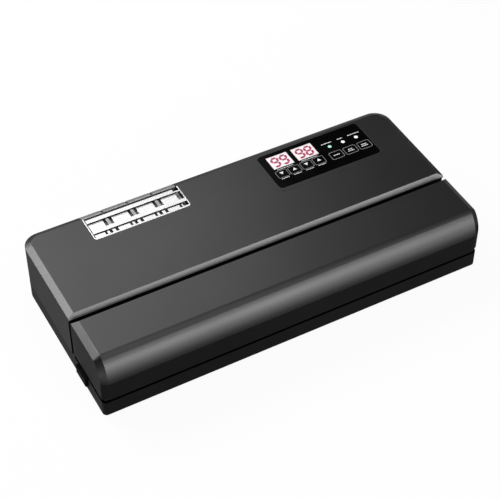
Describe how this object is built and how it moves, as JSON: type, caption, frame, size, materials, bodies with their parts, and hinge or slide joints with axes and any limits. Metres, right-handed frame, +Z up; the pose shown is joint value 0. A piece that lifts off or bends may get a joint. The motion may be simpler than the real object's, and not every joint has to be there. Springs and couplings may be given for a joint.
{
  "type": "vacuum sealer",
  "caption": "Low rectangular countertop vacuum sealer: boxed rear housing with louvred vent and control panel, full-width hinged front hood over a vacuum channel and sealing bar.",
  "frame": {"origin": "on the table, under the middle of the body's length and depth, at the bottom of the feet", "axes": "+X along the sealing bar to the end with the control panel, +Y to the rear, +Z up"},
  "size_m": [0.3852, 0.174, 0.0668],
  "materials": {
    "housing_plastic": "satin moulded black",
    "deck_plastic": "fine moulded grain, dark grey",
    "button_plastic": "satin moulded black",
    "panel_gloss": "gloss black",
    "key_gloss": "gloss black",
    "vent_chrome": "bright plated",
    "display_face": "pale diffuser",
    "lens_clear": "frosted clear",
    "board_green": "solder mask",
    "component_plastic": "moulded",
    "gasket_rubber": "soft foam rubber",
    "press_silicone": "matt silicone",
    "foot_rubber": "matt rubber",
    "heater_bakelite": "phenolic",
    "heater_ribbon": "drawn ribbon",
    "heater_tape": "coated glass cloth",
    "terminal_brass": "plain",
    "screw_steel": "zinc plated",
    "motor_steel": "drawn can",
    "pump_plastic": "moulded",
    "hose_silicone": "translucent silicone",
    "core_steel": "laminated",
    "coil_copper": "enamelled winding",
    "inlet_plastic": "moulded"
  },
  "bodies": {
    "base": {"base_housing": "housing_plastic", "rear_cover": "housing_plastic", "front_rail": "deck_plastic", "rear_rail": "deck_plastic", "deck_end_left": "deck_plastic", "deck_end_right": "deck_plastic", "channel_tray": "deck_plastic", "control_panel": "panel_gloss", "vent_grille": "vent_chrome", "display_left": "display_face", "display_right": "display_face", "indicator_lenses": "lens_clear", "display_board": "board_green", "power_board": "board_green", "key_switches": "component_plastic", "board_components": "component_plastic", "lower_gasket": "gasket_rubber", "rubber_feet": "foot_rubber", "heater_bar": "heater_bakelite", "heating_strip": "heater_ribbon", "heater_tape": "heater_tape", "heater_terminals": "terminal_brass", "inlet_pins": "terminal_brass", "housing_screws": "screw_steel", "inner_screws": "screw_steel", "button_spring_left": "screw_steel", "button_spring_right": "screw_steel", "pump_motor": "motor_steel", "pump_bracket": "motor_steel", "pump_head": "pump_plastic", "suction_nozzle": "pump_plastic", "vent_nozzle": "pump_plastic", "valve_body": "pump_plastic", "vacuum_hose": "hose_silicone", "vent_hose": "hose_silicone", "transformer_core": "core_steel", "transformer_coil": "coil_copper", "inlet_socket": "inlet_plastic"},
    "lid": {"lid_shell": "housing_plastic", "lid_liner": "deck_plastic", "upper_gasket": "gasket_rubber", "press_strip": "press_silicone", "liner_screws": "screw_steel", "hinge_pin_left": "screw_steel", "hinge_pin_right": "screw_steel"},
    "release_left": {"release_button_left": "button_plastic"},
    "release_right": {"release_button_right": "button_plastic"},
    "pump_rotor": {"pump_shaft": "screw_steel"},
    "vent_plunger": {"valve_plunger": "screw_steel"},
    "key_left_down": {"key_left_down": "key_gloss"},
    "key_left_up": {"key_left_up": "key_gloss"},
    "key_right_down": {"key_right_down": "key_gloss"},
    "key_right_up": {"key_right_up": "key_gloss"},
    "key_vacuum": {"key_vacuum": "key_gloss"},
    "key_seal": {"key_seal": "key_gloss"},
    "key_stop": {"key_stop": "key_gloss"}
  },
  "joints": [
    {"name": "lid_hinge", "type": "hinge", "parent": "base", "child": "lid", "pos_m": [0, -0.0341, 0.0555], "axis": [-1, 0, 0], "range_deg": [0, 70]},
    {"name": "left_release_slide", "type": "slide", "parent": "base", "child": "release_left", "axis": [1, 0, 0], "range_m": [-0.0018, 0.0015], "stiffness_N_per_m": 400, "deforming": ["button_spring_left"]},
    {"name": "right_release_slide", "type": "slide", "parent": "base", "child": "release_right", "axis": [-1, 0, 0], "range_m": [-0.0018, 0.0015], "stiffness_N_per_m": 400, "deforming": ["button_spring_right"]},
    {"name": "key_left_down_press", "type": "slide", "parent": "base", "child": "key_left_down", "axis": [0, 0, -1], "range_m": [0, 0.0004], "stiffness_N_per_m": 800},
    {"name": "key_left_up_press", "type": "slide", "parent": "base", "child": "key_left_up", "axis": [0, 0, -1], "range_m": [0, 0.0004], "stiffness_N_per_m": 800},
    {"name": "key_right_down_press", "type": "slide", "parent": "base", "child": "key_right_down", "axis": [0, 0, -1], "range_m": [0, 0.0004], "stiffness_N_per_m": 800},
    {"name": "key_right_up_press", "type": "slide", "parent": "base", "child": "key_right_up", "axis": [0, 0, -1], "range_m": [0, 0.0004], "stiffness_N_per_m": 800},
    {"name": "key_vacuum_press", "type": "slide", "parent": "base", "child": "key_vacuum", "axis": [0, 0, -1], "range_m": [0, 0.0004], "stiffness_N_per_m": 800},
    {"name": "key_seal_press", "type": "slide", "parent": "base", "child": "key_seal", "axis": [0, 0, -1], "range_m": [0, 0.0004], "stiffness_N_per_m": 800},
    {"name": "key_stop_press", "type": "slide", "parent": "base", "child": "key_stop", "axis": [0, 0, -1], "range_m": [0, 0.0004], "stiffness_N_per_m": 800},
    {"name": "pump_spin", "type": "hinge", "parent": "base", "child": "pump_rotor", "pos_m": [-0.1, 0.038, 0.027], "axis": [1, 0, 0], "continuous": true},
    {"name": "vent_plunger_slide", "type": "slide", "parent": "base", "child": "vent_plunger", "axis": [-1, 0, 0], "range_m": [0, 0.002], "stiffness_N_per_m": 300}
  ]
}
